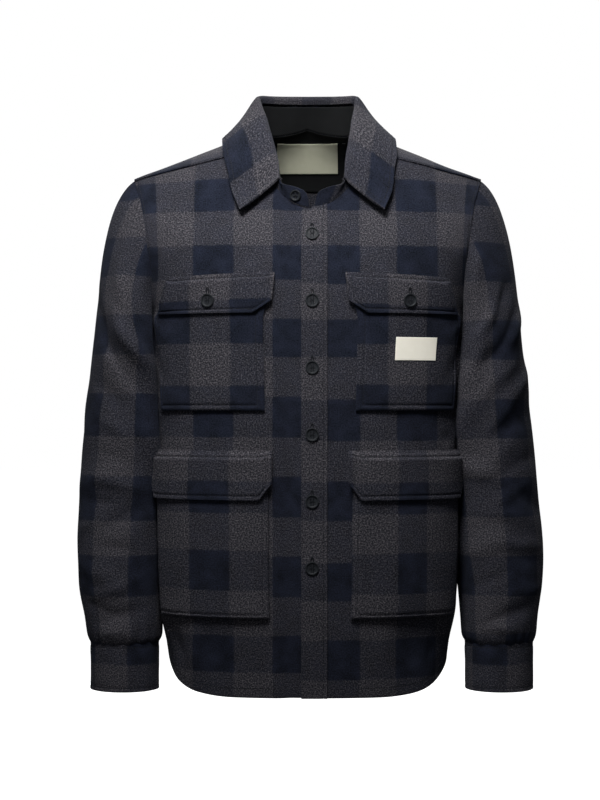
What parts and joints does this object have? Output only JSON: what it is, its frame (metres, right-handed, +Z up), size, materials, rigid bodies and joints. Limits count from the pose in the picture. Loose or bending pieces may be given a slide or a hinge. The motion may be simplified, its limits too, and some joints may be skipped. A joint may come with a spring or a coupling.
{
  "type": "wool shirt jacket",
  "caption": "Checked wool shirt jacket in worn form, with a turned-down collar, flapped chest and hip pockets, long cuffed sleeves and a curved shirt-tail hem.",
  "frame": {"origin": "middle of the neck base, between the high points of the shoulders, where the wearer's shoulders carry the jacket", "axes": "+Z up along the body, -Y out of the front, +X to the wearer's left"},
  "size_m": [0.6447, 0.2745, 0.8368],
  "materials": {
    "checked_wool": "brushed wool in a two-colour check of navy and heather grey",
    "black_lining": "smooth woven lining",
    "button_resin": "dark four-hole buttons, half matt",
    "label_tape": "woven tape, bare"
  },
  "bodies": {
    "root": {"front_right": "checked_wool", "front_left": "checked_wool", "back": "checked_wool", "yoke": "checked_wool", "button_band": "checked_wool", "sleeve_right": "checked_wool", "sleeve_left": "checked_wool", "cuff_right": "checked_wool", "cuff_left": "checked_wool", "collar_stand": "checked_wool", "collar_leaf": "checked_wool", "chest_bag_right": "checked_wool", "chest_bag_left": "checked_wool", "chest_flap_right": "checked_wool", "chest_flap_left": "checked_wool", "hip_bag_right": "checked_wool", "hip_bag_left": "checked_wool", "hip_flap_right": "checked_wool", "hip_flap_left": "checked_wool", "yoke_lining": "black_lining", "stand_facing": "black_lining", "neck_tab": "black_lining", "button_1": "button_resin", "button_2": "button_resin", "button_3": "button_resin", "button_4": "button_resin", "button_5": "button_resin", "button_6": "button_resin", "button_stand": "button_resin", "flap_button_right": "button_resin", "flap_button_left": "button_resin", "cuff_button_right": "button_resin", "cuff_button_left": "button_resin", "neck_label": "label_tape", "chest_label": "label_tape"}
  },
  "joints": []
}
